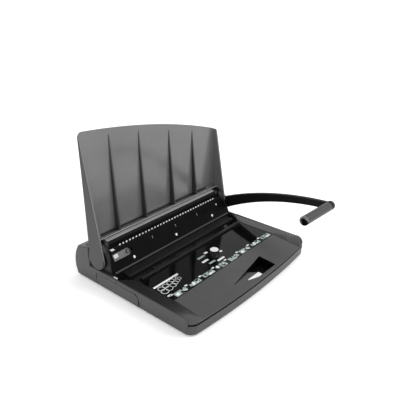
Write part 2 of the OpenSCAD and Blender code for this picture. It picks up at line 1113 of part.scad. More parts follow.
module lever_grip() {
    color([0.27, 0.27, 0.27])
        difference() {
            grip_bar(arm_x - grip_len, arm_x, grip_r);
            grip_bar(arm_x - grip_len, arm_x, core_r);
        }
}

module grip_end_cap() {
    color([0.10, 0.10, 0.10])
        grip_bar(arm_x - grip_len - grip_cap, arm_x - grip_len, grip_r);
}

module punch_cranks() {
    color([0.50, 0.50, 0.51])
        both()
            along_x(punch_crank_x - crank_w / 2, punch_crank_x + crank_w / 2)
                translate([pivot_y, pivot_z])
                    difference() {
                        union() {
                            circle(crank_r);
                            translate([0, -crank_tip])
                                square([crank_reach + crank_tip, crank_tip + crank_tip / 2]);
                            translate([crank_reach - crank_tip, -crank_tip])
                                square([2 * crank_tip, crank_rise + crank_tip]);
                            translate([crank_reach, crank_rise])
                                circle(crank_tip);
                        }
                        circle(shaft_r);
                    }
}

module closer_cranks() {
    color([0.50, 0.50, 0.51])
        both()
            along_x(closer_crank_x - crank_w / 2, closer_crank_x + crank_w / 2)
                translate([pivot_y, pivot_z])
                    difference() {
                        union() {
                            circle(crank_r);
                            translate([-crank_tip, -closer_crank])
                                square([2 * crank_tip, closer_crank]);
                            translate([0, -closer_crank])
                                circle(crank_tip);
                        }
                        circle(shaft_r);
                    }
}

module punch_bar() {
    color([0.52, 0.52, 0.53])
        block(
            -bar_half,
            bar_half,
            bar_front,
            bar_back,
            punch_z - bar_h / 2,
            punch_z + bar_h / 2
        );
}

module punch_pins() {
    color([0.80, 0.80, 0.81])
        row_of_holes(punch_r, guide_y + clear, bar_front);
}

module closer_bar() {
    color([0.09, 0.09, 0.09])
        block(-jaw_half, jaw_half, -jaw_front, -jaw_back, jaw_low, jaw_low + jaw_h);
}

module closer_rods() {
    color([0.62, 0.62, 0.63])
        both()
            along_x(closer_crank_x - rod_w / 2, closer_crank_x + rod_w / 2)
                polygon([
                    [-jaw_front, rod_low],
                    [-jaw_front, jaw_low],
                    [-jaw_back, jaw_low],
                    [-jaw_back, rod_top],
                    [hook_y, rod_top],
                    [hook_y, hook_top],
                    [hook_y + hook_t, hook_top],
                    [hook_y + hook_t, rod_low]
                ]);
}

module selector_knob() {
    color([0.06, 0.06, 0.06])
        translate([0, -knob_reach, 0])
            difference() {
                translate([0, 0, jaw_low])
                    cylinder(r = knob_r, h = knob_top - jaw_low);
                cylinder(r = spindle_r, h = knob_top - 2 * cap_t);
            }
}

module knob_cap() {
    color([0.90, 0.90, 0.90])
        translate([0, -knob_reach, knob_top])
            cylinder(r = cap_r, h = cap_t);
}

module knob_spindle() {
    color([0.66, 0.66, 0.68])
        translate([0, -knob_reach, bush_low - clear])
            cylinder(r = spindle_r, h = knob_top - 2 * cap_t - bush_low + clear);
}

module edge_guide() {
    color([0.45, 0.45, 0.45])
        difference() {
            intersection() {
                slanted(edge_low, edge_high, clear + edge_t, edge_t / cos(panel_lean));
                along_y(-far, far) {
                    translate([-edge_left, edge_low])
                        square([edge_left + edge_knob_x, edge_high - edge_low]);
                    translate([edge_knob_x, edge_z])
                        circle(edge_r);
                }
            }
            on_panel(edge_knob_x, edge_z)
                cylinder(r = stem_r, h = far);
        }
}

module guide_knob() {
    color([0.82, 0.82, 0.82])
        on_panel(edge_knob_x, edge_z) {
            translate([0, 0, clear + edge_t])
                cylinder(r = edge_knob_r, h = edge_knob_h);
            translate([0, 0, -panel_t - clear])
                cylinder(r = stem_r, h = panel_t + 2 * clear + edge_t + over);
            translate([0, 0, -panel_t - clear - over])
                cylinder(r = edge_knob_r, h = over);
        }
}

module chip_drawer() {
    x0 = -half_w + face_t;
    y0 = box_in - drawer_front;
    y1 = drawer_back - box_in;
    color([0.30, 0.30, 0.30]) {
        along_x(-half_w, x0)
            drawer_face(0);
        difference() {
            block(x0, drawer_right, y0, y1, drawer_low, drawer_box);
            block(
                x0,
                drawer_right - drawer_wall,
                y0 + drawer_wall,
                y1 - drawer_wall,
                drawer_low + drawer_wall,
                far
            );
        }
    }
}

base_pan();
base_housing();
rear_cover();
rubber_feet();
base_screws();
deck_plate();
punch_panel();
panel_screws();
end_cheeks();
side_frames();
die_plate();
guide_plate();
hook_comb();
top_bar();
bar_brackets();
shaft_bushes();
lid_pivot_pin();
return_spring();
closer_rear_rail();
knob_bush();
lid_shell();
lid_ribs();
drive_shaft();
lever_arm();
lever_screw();
grip_core();
lever_grip();
grip_end_cap();
punch_cranks();
closer_cranks();
punch_bar();
punch_pins();
closer_bar();
closer_rods();
selector_knob();
knob_cap();
knob_spindle();
edge_guide();
guide_knob();
chip_drawer();
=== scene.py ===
import math
from types import SimpleNamespace

import bpy
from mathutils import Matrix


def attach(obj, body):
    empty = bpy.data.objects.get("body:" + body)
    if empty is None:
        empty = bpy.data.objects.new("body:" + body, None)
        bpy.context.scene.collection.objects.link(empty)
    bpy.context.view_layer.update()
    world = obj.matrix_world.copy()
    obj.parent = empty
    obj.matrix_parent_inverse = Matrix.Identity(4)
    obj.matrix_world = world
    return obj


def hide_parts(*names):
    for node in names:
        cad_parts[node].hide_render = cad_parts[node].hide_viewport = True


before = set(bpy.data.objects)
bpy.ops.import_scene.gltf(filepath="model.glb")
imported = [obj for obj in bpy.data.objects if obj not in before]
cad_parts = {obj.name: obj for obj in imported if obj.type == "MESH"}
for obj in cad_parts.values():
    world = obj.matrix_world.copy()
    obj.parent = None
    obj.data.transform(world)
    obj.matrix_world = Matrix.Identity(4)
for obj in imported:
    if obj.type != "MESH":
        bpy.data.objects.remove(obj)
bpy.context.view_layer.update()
mm = 0.001
print("frame loaded:", len(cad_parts), "nodes")


# sRGB hex code to linear colour
def hexLinear(code):
    out = []
    for i in (1, 3, 5):
        c = int(code[i:i + 2], 16) / 255
        out.append(c / 12.92 if c <= 0.04045 else ((c + 0.055) / 1.055) ** 2.4)
    return (*out, 1)


# adds one node, sets its sockets, and links what feeds it
def addNode(mat, kind, sockets={}, links={}):
    node = mat.node_tree.nodes.new(kind)
    for key, value in sockets.items():
        node.inputs[key].default_value = value
    for key, source in links.items():
        mat.node_tree.links.new(source, node.inputs[key])
    return node


# clouds drive tone and gloss between two levels each, grain is the bump
pattern = {"cloudDetail": 3, "cloudRough": 0.5, "toneAt": (0.35, 0.65), "glossAt": (0.3, 0.7),
           "grainDetail": 2}


# a moulded or painted surface: two close tones in soft clouds, and a fine grain that catches light
def makeSurface(name, look):
    mat = bpy.data.materials.new(name)
    mat.use_nodes = True
    mat.node_tree.nodes.clear()
    place = addNode(mat, "ShaderNodeTexCoord").outputs["Object"]
    cloud = addNode(mat, "ShaderNodeTexNoise", {
        "Scale": 1 / (look["cloudMm"] * mm), "Detail": pattern["cloudDetail"],
        "Roughness": pattern["cloudRough"]}, {"Vector": place}).outputs["Fac"]
    tone = addNode(mat, "ShaderNodeValToRGB", links={"Fac": cloud})
    for end, at, colour in zip(tone.color_ramp.elements, pattern["toneAt"], (look["dark"], look["light"])):
        end.position = at
        end.color = hexLinear(colour)
    gloss = addNode(mat, "ShaderNodeMapRange", {
        "From Min": pattern["glossAt"][0], "From Max": pattern["glossAt"][1],
        "To Min": look["rough"][0], "To Max": look["rough"][1]}, {"Value": cloud})
    grain = addNode(mat, "ShaderNodeTexNoise", {
        "Scale": 1 / (look["grainMm"] * mm), "Detail": pattern["grainDetail"]}, {"Vector": place})
    bump = addNode(mat, "ShaderNodeBump", {
        "Strength": look["grainStrength"], "Distance": look["grainDeepMm"] * mm},
        {"Height": grain.outputs["Fac"]})
    shader = addNode(mat, "ShaderNodeBsdfPrincipled", {
        "Metallic": look.get("metallic", 0), "IOR": look.get("ior", 1.5),
        "Emission Strength": look.get("glow", 0)}, {
        "Base Color": tone.outputs["Color"], "Roughness": gloss.outputs["Result"],
        "Normal": bump.outputs["Normal"]})
    addNode(mat, "ShaderNodeOutputMaterial", links={"Surface": shader.outputs["BSDF"]})
    return mat


# ABS mouldings: spark-eroded grain about half a millimetre wide, satin
absCharcoal = makeSurface("abs_charcoal_satin", {
    "dark": "#353435", "light": "#3b3a3a", "rough": (0.33, 0.4), "cloudMm": 45,
    "grainMm": 0.6, "grainStrength": 0.25, "grainDeepMm": 0.05})
# the lid is smoother and catches the room; its charcoal is painted lighter than the base's, a painted light
# for its front-lit inside
absLidPaintedLight = makeSurface("abs_charcoal_smooth_painted_light", {
    "dark": "#656464", "light": "#6a6969", "rough": (0.16, 0.22), "cloudMm": 60,
    "grainMm": 0.8, "grainStrength": 0.08, "grainDeepMm": 0.03})
# the tray's floor: polished black, so it mirrors what stands behind it
absGloss = makeSurface("abs_black_gloss", {
    "dark": "#070707", "light": "#0b0b0b", "rough": (0.05, 0.09), "ior": 1.22, "cloudMm": 50,
    "grainMm": 1.2, "grainStrength": 0.03, "grainDeepMm": 0.01})
# the tray's right shoulder: smooth dark ABS painted darker as shade, grey where it mirrors the room
absRimShade = makeSurface("abs_dark_smooth_shade", {
    "dark": "#292929", "light": "#2e2e2e", "rough": (0.18, 0.24), "ior": 1.52, "cloudMm": 50,
    "grainMm": 0.8, "grainStrength": 0.05, "grainDeepMm": 0.02})
# the punch's front is a duller black than the tray; it also fills gaps and hollows with shade
absPanelAndShade = makeSurface("abs_black_dull_and_shade", {
    "dark": "#060606", "light": "#0a0a0a", "rough": (0.3, 0.38), "ior": 1.14, "cloudMm": 40,
    "grainMm": 0.7, "grainStrength": 0.1, "grainDeepMm": 0.02})
# small black mouldings: fine grain with a soft sheen; on the tray's left shoulder the same black is painted
# shade
absBlackAndShade = makeSurface("abs_black_satin_and_shade", {
    "dark": "#121212", "light": "#171717", "rough": (0.35, 0.42), "ior": 1.33, "cloudMm": 30,
    "grainMm": 0.6, "grainStrength": 0.2, "grainDeepMm": 0.04})
# the knob's flutes are polished and catch thin lines of light
absKnob = makeSurface("abs_black_polished", {
    "dark": "#181818", "light": "#1e1e1e", "rough": (0.2, 0.26), "cloudMm": 6,
    "grainMm": 0.5, "grainStrength": 0.04, "grainDeepMm": 0.01})
# the bar's sprayed enamel: an even grey, its highlight slightly broken
greyEnamel = makeSurface("enamel_grey_satin", {
    "dark": "#838383", "light": "#8a8a8a", "rough": (0.35, 0.42), "cloudMm": 30,
    "grainMm": 0.9, "grainStrength": 0.1, "grainDeepMm": 0.03})
# painted light: the bar's grey enamel made paler for the inside of the lid's lip, which lies in shade
enamelPaintedLight = makeSurface("enamel_grey_painted_light", {
    "dark": "#b4b4b4", "light": "#bababa", "rough": (0.35, 0.42), "cloudMm": 30,
    "grainMm": 0.9, "grainStrength": 0.1, "grainDeepMm": 0.03})
# edge guide: grained grey with little shine; on the grip plug the grey is a painted highlight ring round a
# hole painted black as shade
greyAbsAndHighlight = makeSurface("abs_grey_satin_and_highlight", {
    "dark": "#5c5c5c", "light": "#636363", "rough": (0.4, 0.46), "cloudMm": 20,
    "grainMm": 0.5, "grainStrength": 0.2, "grainDeepMm": 0.04})
# knob cap: clean white with a small highlight; the pocket facet wears the same white as a painted highlight
whiteAbsAndHighlight = makeSurface("abs_white_gloss_and_highlight", {
    "dark": "#dcdcdc", "light": "#e4e4e4", "rough": (0.25, 0.3), "cloudMm": 10,
    "grainMm": 0.5, "grainStrength": 0.1, "grainDeepMm": 0.02})
# powder coat on the lever: black, finely pebbled, dull
armPaint = makeSurface("powder_black", {
    "dark": "#070707", "light": "#0b0b0b", "rough": (0.5, 0.58), "ior": 1.35, "cloudMm": 30,
    "grainMm": 0.7, "grainStrength": 0.25, "grainDeepMm": 0.05})
# grip: moulded rubber, its coarse grain breaks up the highlight
gripRubber = makeSurface("rubber_grip_matt", {
    "dark": "#1f1f1f", "light": "#262626", "rough": (0.38, 0.46), "cloudMm": 15,
    "grainMm": 0.8, "grainStrength": 0.4, "grainDeepMm": 0.08})
# feet: matt rubber that shows no highlight
footRubber = makeSurface("rubber_black_matt", {
    "dark": "#161616", "light": "#1b1b1b", "rough": (0.7, 0.8), "cloudMm": 8,
    "grainMm": 0.6, "grainStrength": 0.3, "grainDeepMm": 0.05})
# ground steel: grey with a soft sheen
plainSteel = makeSurface("steel_ground", {
    "dark": "#8b8b8d", "light": "#98989a", "rough": (0.3, 0.4), "cloudMm": 12,
    "grainMm": 0.5, "grainStrength": 0.15, "grainDeepMm": 0.02, "metallic": 1})
# nickel plate: bright, close to a mirror
nickelSteel = makeSurface("steel_nickel_plated", {
    "dark": "#d4d4d4", "light": "#e2e2e2", "rough": (0.15, 0.22), "cloudMm": 6,
    "grainMm": 0.4, "grainStrength": 0.05, "grainDeepMm": 0.01, "metallic": 1})
# sintered bronze: brown and porous, so its shine is dull
bronze = makeSurface("bronze_sintered", {
    "dark": "#7a5a30", "light": "#86653a", "rough": (0.4, 0.5), "cloudMm": 4,
    "grainMm": 0.4, "grainStrength": 0.3, "grainDeepMm": 0.03, "metallic": 1})
# ribs: darker satin ABS that stands out from the lid; on the lid's flanges and the strip at its foot the
# same dark is painted shade
absRibAndShade = makeSurface("abs_dark_satin_and_shade", {
    "dark": "#2a2a2a", "light": "#2f2f2f", "rough": (0.35, 0.42), "cloudMm": 30,
    "grainMm": 0.6, "grainStrength": 0.2, "grainDeepMm": 0.04})
# the hooks are coloured white, so they show as a row of white points
hookWhite = makeSurface("hook_white", {
    "dark": "#f2f2f2", "light": "#fafafa", "rough": (0.35, 0.45), "cloudMm": 6,
    "grainMm": 0.4, "grainStrength": 0.05, "grainDeepMm": 0.01})
# panel screws: bright zinc, its metal partly painted diffuse white as a painted highlight; the same finish
# makes the glint pad on the rim
zincBrightAndGlint = makeSurface("steel_zinc_bright_and_glint", {
    "dark": "#f0f0f0", "light": "#fafafa", "rough": (0.3, 0.38), "cloudMm": 6,
    "grainMm": 0.4, "grainStrength": 0.05, "grainDeepMm": 0.01, "metallic": 0.45})
# screen-printed inks: flat, slightly uneven cover
inkWhite = makeSurface("ink_white", {
    "dark": "#dfe3e3", "light": "#e9ecec", "rough": (0.5, 0.6), "cloudMm": 4,
    "grainMm": 0.3, "grainStrength": 0.1, "grainDeepMm": 0.01})
inkPale = makeSurface("ink_grey_green", {
    "dark": "#8f9f9d", "light": "#9aaaa8", "rough": (0.5, 0.6), "cloudMm": 4,
    "grainMm": 0.3, "grainStrength": 0.1, "grainDeepMm": 0.01})
# phosphated steel: dark, with a dull sheen
darkSteel = makeSurface("steel_phosphated", {
    "dark": "#1a1a1b", "light": "#222223", "rough": (0.45, 0.55), "cloudMm": 10,
    "grainMm": 0.4, "grainStrength": 0.2, "grainDeepMm": 0.02, "metallic": 0.6})
print("materials made")

# CAD nodes that stay as they are, in their own finish
finishes = {
    "punch_panel": absPanelAndShade, "side_frames": darkSteel, "die_plate": plainSteel, "guide_plate": absBlackAndShade,
    "bar_brackets": absBlackAndShade, "shaft_bushes": bronze, "lid_pivot_pin": plainSteel, "knob_bush": bronze,
    "drive_shaft": plainSteel, "grip_core": plainSteel, "punch_cranks": plainSteel,
    "closer_cranks": plainSteel, "punch_bar": plainSteel, "punch_pins": nickelSteel,
    "closer_rods": plainSteel, "knob_spindle": plainSteel,
}
for name, mat in finishes.items():
    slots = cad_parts[name].data.materials
    slots.clear()
    slots.append(mat)

near = 0.1  # mm, how close to a level counts as on it
square = 60  # degrees, least turn of a square edge
blunt = 40  # degrees, the same where a face slants
facing = 0.9  # share of a direction along an axis, for what points that way
mergeNode = 0.01  # mm, points of a CAD copy that are one
mergeDone = 0.002  # mm, the same in a finished piece
flatTurn = 0.3  # degrees, triangles that are one face
cornerSteps = 3  # facets in the corner of a plate
pivot = {"y": 18.5, "z": 59}  # axis of the lid and the lever


def between(value, limits):
    return limits[0] < value < limits[1]


def fromPivot(p):
    return math.hypot(p.y - pivot["y"], p.z - pivot["z"])


def toObject():
    bpy.ops.object.mode_set(mode="OBJECT")


# edit mode with everything selected
def editAll():
    bpy.ops.object.mode_set(mode="EDIT")
    bpy.ops.mesh.select_all(action="SELECT")


# nothing in hand, object mode
def putDown():
    if bpy.context.object and bpy.context.object.mode != "OBJECT":
        toObject()
    bpy.ops.object.select_all(action="DESELECT")


# one piece in hand
def takeUp(piece):
    putDown()
    piece.select_set(True)
    bpy.context.view_layer.objects.active = piece


def applyPlace():
    bpy.ops.object.transform_apply(location=True, rotation=True, scale=True)


# names the new primitive and puts its place into its mesh
def settle(pieceName):
    piece = bpy.context.object
    piece.name = pieceName
    applyPlace()
    return piece


# block by its middle and size in mm
def addBlock(pieceName, at, size, turn=0):
    putDown()
    bpy.ops.mesh.primitive_cube_add(size=1, location=[c * mm for c in at],
        rotation=(0, 0, math.radians(turn)), scale=[c * mm for c in size])
    return settle(pieceName)


# block between two limits in mm on each axis
def addSpan(pieceName, limits):
    spans = [limits[axis] for axis in "xyz"]
    return addBlock(pieceName, [sum(s) / 2 for s in spans], [s[1] - s[0] for s in spans])


# rod by its middle, radius and length in mm, upright or lying along x
def addRod(pieceName, at, r, long, points, lying=False):
    putDown()
    bpy.ops.mesh.primitive_cylinder_add(vertices=points, radius=r * mm, depth=long * mm,
        location=[c * mm for c in at], rotation=(0, math.radians(90) if lying else 0, 0))
    return settle(pieceName)


# copy with its own mesh: place in metres, turn in degrees
def placeCopy(piece, at, turn=(0, 0, 0), size=(1, 1, 1)):
    copy = piece.copy()
    copy.data = piece.data.copy()
    copy.location = at
    copy.rotation_euler = [math.radians(a) for a in turn]
    copy.scale = size
    bpy.context.scene.collection.objects.link(copy)
    return copy


# object mode, nothing picked
def startPick(piece, pickMode):
    toObject()
    bpy.context.tool_settings.mesh_select_mode = pickMode
    for part in (piece.data.vertices, piece.data.edges, piece.data.polygons):
        part.foreach_set("select", [False] * len(part))


# selects the faces that a test of centre in mm and normal picks, and stays in edit mode
def pickFaces(piece, test):
    startPick(piece, (False, False, True))
    for face in piece.data.polygons:
        face.select = test(face.center / mm, face.normal)
    bpy.ops.object.mode_set(mode="EDIT")


# selects edges by middle and direction in mm, turn in degrees and the two normals
def pickEdges(piece, test):
    startPick(piece, (False, True, False))
    sides = {}
    for face in piece.data.polygons:
        for key in face.edge_keys:
            sides.setdefault(key, []).append(face.normal)
    for edge in piece.data.edges:
        a, b = (piece.data.vertices[i].co for i in edge.vertices)
        pair = sides.get(edge.key, [])
        if len(pair) == 2:
            edge.select = test(SimpleNamespace(mid=(a + b) / 2 / mm, along=(b - a) / mm, pair=pair,
                turn=math.degrees(pair[0].angle(pair[1], 0))))
    bpy.ops.object.mode_set(mode="EDIT")


# rounds the edges that a test picks, to a width in mm in so many steps
def roundEdges(piece, edge, test):
    wide, steps = edge
    pickEdges(piece, test)
    bpy.ops.mesh.bevel(offset=wide * mm, segments=steps, affect="EDGES", clamp_overlap=False)
    toObject()


# extrudes what is picked, in mm
def extrudeBy(x, y, z):
    bpy.ops.mesh.extrude_region_move(TRANSFORM_OT_translate={"value": (x * mm, y * mm, z * mm)})


# widens or narrows what is picked, round an upright axis at y
def widen(by, y):
    bpy.ops.transform.resize(value=(by, by, 1), center_override=(0, y * mm, 0))


# keeps what lies behind the plane: a point in mm and the way it faces
def cutOff(piece, point, normal):
    editAll()
    bpy.ops.mesh.bisect(plane_co=[c * mm for c in point], plane_no=normal, use_fill=True, clear_outer=True)
    toObject()


# upright cut through a and b, keeps the right-hand side, or the left with side -1
def cutAlong(piece, a, b, side=1):
    cutOff(piece, (*a, 0), (side * (a[1] - b[1]), side * (b[0] - a[0]), 0))


# a further finish on the faces that a test picks
def paintFaces(piece, mat, test):
    piece.data.materials.append(mat)
    pickFaces(piece, test)
    piece.active_material_index = len(piece.data.materials) - 1
    bpy.ops.object.material_slot_assign()
    toObject()


# a copy of a CAD node's mesh, its triangles merged into whole faces
def copyNode(node, pieceName):
    piece = bpy.data.objects.new(pieceName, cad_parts[node].data.copy())
    bpy.context.scene.collection.objects.link(piece)
    takeUp(piece)
    editAll()
    bpy.ops.mesh.remove_doubles(threshold=mergeNode * mm)
    bpy.ops.mesh.dissolve_limited(angle_limit=math.radians(flatTurn))
    toObject()
    return piece


# joins loose pieces into the first one
def joinAll(parts, pieceName):
    putDown()
    for part in parts:
        part.select_set(True)
    bpy.context.view_layer.objects.active = parts[0]
    bpy.ops.object.join()
    parts[0].name = pieceName
    return parts[0]


# place into the mesh, doubled points merged, smooth shading between sharp edges, finish, body
def finishPiece(piece, body, mat, nodes=(), angle=35):
    takeUp(piece)
    applyPlace()
    editAll()
    bpy.ops.mesh.remove_doubles(threshold=mergeDone * mm)
    toObject()
    bpy.ops.object.shade_smooth_by_angle(angle=math.radians(angle))
    weigh = piece.modifiers.new("flatFaces", "WEIGHTED_NORMAL")
    weigh.keep_sharp = True
    bpy.ops.object.modifier_apply(modifier=weigh.name)
    piece.data.materials.clear()
    piece.data.materials.append(mat)
    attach(piece, body)
    if nodes:
        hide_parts(*nodes)


# base shell: soft dish, round outer edge, broken edges at the pocket; painted shade: deep pocket and groove
# black
shell = {"edge": (0.85, 4), "edgeLow": 25, "grooveLip": (1, 1), "lipZ": 22, "lipY": -210,
         "mouth": (0.8, 3), "mouthLow": 23, "dish": (7, 4), "dishTurn": (6, 30), "dishX": 181, "dishY": -157,
         "dishFlat": 0.8, "middle": (0, -100), "plumb": 0.1, "pocketX": (-53.5, 66.5),
         "pocketY": (-220.5, -180), "deepX": 9, "deepTop": 13, "steep": 0.3, "seamY": -36.6,
         "grooveZ": (20.9, 24.7), "grooveY": -209}


def inPocket(p):
    return between(p.x, shell["pocketX"]) and between(p.y, shell["pocketY"])


# top edge of a wall that faces away from the machine's middle
def isOuterTop(e):
    walls = [n for n in e.pair if abs(n.z) < shell["plumb"]]
    away = e.mid.x - shell["middle"][0], e.mid.y - shell["middle"][1]
    return e.turn > blunt and len(walls) == 1 and walls[0].x * away[0] + walls[0].y * away[1] > 0


housing = copyNode("base_housing", "base_shell")
roundEdges(housing, shell["dish"], lambda e: between(e.turn, shell["dishTurn"])
           and e.mid.y < shell["dishY"] and e.mid.z > shell["edgeLow"] and abs(e.mid.x) < shell["dishX"]
           and min(n.z for n in e.pair) > shell["dishFlat"])
roundEdges(housing, shell["edge"], lambda e: e.mid.z > shell["edgeLow"] and e.mid.y < shell["seamY"]
           and not inPocket(e.mid) and isOuterTop(e))
roundEdges(housing, shell["grooveLip"], lambda e: abs(e.mid.z - shell["lipZ"]) < near
           and e.turn > square and e.mid.y < shell["lipY"] and isOuterTop(e))
roundEdges(housing, shell["mouth"], lambda e: e.mid.z > shell["mouthLow"] and inPocket(e.mid)
           and e.turn > blunt)
finishPiece(housing, "chassis", absCharcoal, ["base_housing"])
# painted shade: the pocket's walls and deep floor and the inside of the groove in dull black
paintFaces(housing, absPanelAndShade, lambda at, n: (inPocket(at) and (abs(n.z) < shell["steep"]
           or (at.x > shell["deepX"] and at.z < shell["deepTop"])))
           or (between(at.z, shell["grooveZ"]) and at.y < shell["grooveY"]))

# finger ramp in the pocket: a block cut down to the pocket's outline, its end painted black as shade over
# the deep part
ramp = {"x": (-52, 21), "y": (-218.8, -190), "z": (8, 32), "tip": (-52, -202.4), "back": (65, -181.4),
        "front": (8, -218.9), "tipZ": 27.8, "tipThick": 1, "fall": 0.07, "palmFall": 0.1125,
        "deepFall": 0.273, "endBack": (8, -191), "endFront": (20.5, -218.8), "endFace": 0.7}
rampPiece = addSpan("pocket_ramp", ramp)
tipUnder = (*ramp["tip"], ramp["tipZ"] - ramp["tipThick"])
cutAlong(rampPiece, ramp["tip"], ramp["back"])
cutAlong(rampPiece, ramp["tip"], ramp["front"], -1)
cutAlong(rampPiece, ramp["endBack"], ramp["endFront"])
cutOff(rampPiece, (*ramp["tip"], ramp["tipZ"]), (ramp["fall"], 0, 1))
cutOff(rampPiece, tipUnder, (-ramp["deepFall"], 0, -1))
finishPiece(rampPiece, "chassis", absCharcoal)
# painted shade: the ramp's end face black
paintFaces(rampPiece, absPanelAndShade, lambda at, n: n.x > ramp["endFace"])

# painted highlight: a white facet where the ramp meets the front edge, standing in for the light its slope
# catches
facet = {"x": (-24, 19.2), "y": (-218.8, -210), "z": (15, 30), "left": (-23.6, -218.7), "right": (15, -211),
         "high": 26.2, "rise": -0.1125}
facetPiece = addSpan("pocket_highlight_facet", facet)
cutAlong(facetPiece, facet["left"], facet["right"])
cutOff(facetPiece, (*facet["left"], facet["high"]), (0, facet["rise"], 1))
cutOff(facetPiece, tipUnder, (-ramp["fall"], ramp["palmFall"], -1))
finishPiece(facetPiece, "chassis", whiteAbsAndHighlight)

# rear shell: round side edges except at the drawer, painted black as shade where the lid's arms turn
rear = {"edge": (2, 4), "side": 183.9, "frontY": -34, "drawerY": (-97, 25), "drawerTop": 30,
        "cradleX": 175, "cradleR": 23.6}
cover = copyNode("rear_cover", "rear_shell")
roundEdges(cover, rear["edge"], lambda e: abs(e.mid.x) > rear["side"] and e.turn > blunt
           and e.mid.y > rear["frontY"] and not (e.mid.x < 0 and e.mid.z < rear["drawerTop"]
           and between(e.mid.y, rear["drawerY"])))
finishPiece(cover, "chassis", absCharcoal, ["rear_cover"])
# painted shade: the cut round the arms' hubs in dull black, for the shadow gap
paintFaces(cover, absPanelAndShade, lambda at, n: abs(at.x) > rear["cradleX"] and fromPivot(at) < rear["cradleR"])

# tray plate: polished black floor; painted shade on the shoulders, the right one dark grey, the left one
# black, along askew lines that follow the shade
deck = {"rearX": 171, "rearY": -45, "frontX": 153, "frontY": -156, "low": 32.9, "up": 0.5}


def shoulderX(y):
    return (deck["frontX"] + (deck["rearX"] - deck["frontX"]) * (y - deck["frontY"])
            / (deck["rearY"] - deck["frontY"]))


deckPiece = copyNode("deck_plate", "deck_tray")
for side in (-1, 1):
    editAll()
    bpy.ops.mesh.bisect(plane_co=(side * deck["rearX"] * mm, deck["rearY"] * mm, 0),
        plane_no=(deck["rearY"] - deck["frontY"], side * (deck["frontX"] - deck["rearX"]), 0))
    toObject()
finishPiece(deckPiece, "chassis", absGloss, ["deck_plate"])
# painted shade: shoulders darkened outside the askew lines, black on the left, dark grey on the right
for side, mat in ((1, absRimShade), (-1, absBlackAndShade)):
    paintFaces(deckPiece, mat, lambda at, n: n.z > deck["up"] and at.z > deck["low"]
               and side * at.x > shoulderX(at.y))

# pan and feet: rounded along the table
pan = {"edge": (1.5, 3), "low": 2.6}
panPiece = copyNode("base_pan", "base_tray")
roundEdges(panPiece, pan["edge"], lambda e: e.mid.z < pan["low"] and e.turn > blunt)
finishPiece(panPiece, "chassis", absCharcoal, ["base_pan"])

feet = {"edge": (1, 3)}
footPiece = copyNode("rubber_feet", "rubber_pads")
roundEdges(footPiece, feet["edge"], lambda e: e.mid.z < near and e.turn > blunt)
finishPiece(footPiece, "chassis", footRubber, ["rubber_feet"])

# chip drawer: its edge is broken wide, and painted dark as shade at both ends, where the gap is
drawer = {"edge": (1.1, 3), "face": -183.9, "deep": -182.5, "front": -0.99, "ends": (-78, 12)}
drawerPiece = copyNode("chip_drawer", "chip_tray")
roundEdges(drawerPiece, drawer["edge"], lambda e: e.mid.x < drawer["face"] and e.turn > blunt)
finishPiece(drawerPiece, "drawer", absCharcoal, ["chip_drawer"])
# painted shade: the drawer's end faces in dull black, for the dark gap round it
paintFaces(drawerPiece, absPanelAndShade, lambda at, n: at.x < drawer["deep"] and n.x > drawer["front"]
           and not between(at.y, drawer["ends"]))

# lid: rounded at the back's sides, other edges broken; painted lighter overall, the flanges painted darker
# as shade, the inside of the lip painted pale as light, painted shade on the arm edges
lid = {"corner": (3, 5), "cornerLong": 20, "back": 36.9, "side": 183.9,
       "edge": (0.9, 3), "edgeTurn": 50, "boreR": 8, "outerX": 183, "flange": 0.6,
       "lipR": 36, "lipX": 170, "lipAcross": 0.3, "armTop": 62, "armSide": 0.97}
lidPiece = copyNode("lid_shell", "lid_moulding")
roundEdges(lidPiece, lid["corner"], lambda e: abs(e.mid.x) > lid["side"] and e.mid.y > lid["back"]
           and abs(e.along.z) > lid["cornerLong"] and e.turn > blunt)
roundEdges(lidPiece, lid["edge"], lambda e: e.turn > lid["edgeTurn"] and fromPivot(e.mid) > lid["boreR"])
finishPiece(lidPiece, "lid", absLidPaintedLight, ["lid_shell"])
# painted shade: the flanges' outer faces darker than the lid
paintFaces(lidPiece, absRibAndShade, lambda at, n: abs(n.x) > lid["flange"] and abs(at.x) > lid["outerX"])
# painted light: the inside of the lip in a paler enamel grey
paintFaces(lidPiece, enamelPaintedLight, lambda at, n: abs(n.x) < lid["lipAcross"] and abs(at.x) < lid["lipX"]
           and fromPivot(at) < lid["lipR"] and n.y * (at.y - pivot["y"]) + n.z * (at.z - pivot["z"]) < 0)
# painted shade: the edges of the lid's arms below the pivot in dull black, for the shadow gap beside them
paintFaces(lidPiece, absPanelAndShade, lambda at, n: abs(at.x) > lid["outerX"] and abs(n.x) < lid["armSide"]
           and at.z < lid["armTop"])

# ribs on the lid's inside, darker than the lid
ribs = {"edge": (0.9, 3), "edgeTurn": 50}
ribPiece = copyNode("lid_ribs", "lid_fins")
roundEdges(ribPiece, ribs["edge"], lambda e: e.turn > ribs["edgeTurn"])
finishPiece(ribPiece, "lid", absRibAndShade, ["lid_ribs"])

# lever arm: round edges, square at the bore
arm = {"edge": (1.4, 4), "boreR": 8}
armPiece = copyNode("lever_arm", "lever_bar")
roundEdges(armPiece, arm["edge"], lambda e: e.turn > square and fromPivot(e.mid) > arm["boreR"])
finishPiece(armPiece, "lever", armPaint, ["lever_arm"])

# wire closer: the fixed and the moving jaw
jaws = {"edge": (0.9, 3), "foot": 33.5}
for node, pieceName, body, slotName in (("closer_rear_rail", "closer_rail", "chassis", "black_plastic"),
                                        ("closer_bar", "closer_jaw", "closer", "black_steel")):
    jaw = copyNode(node, pieceName)
    roundEdges(jaw, jaws["edge"], lambda e: e.turn > square and e.mid.z > jaws["foot"])
    finishPiece(jaw, body, absBlackAndShade, [node])

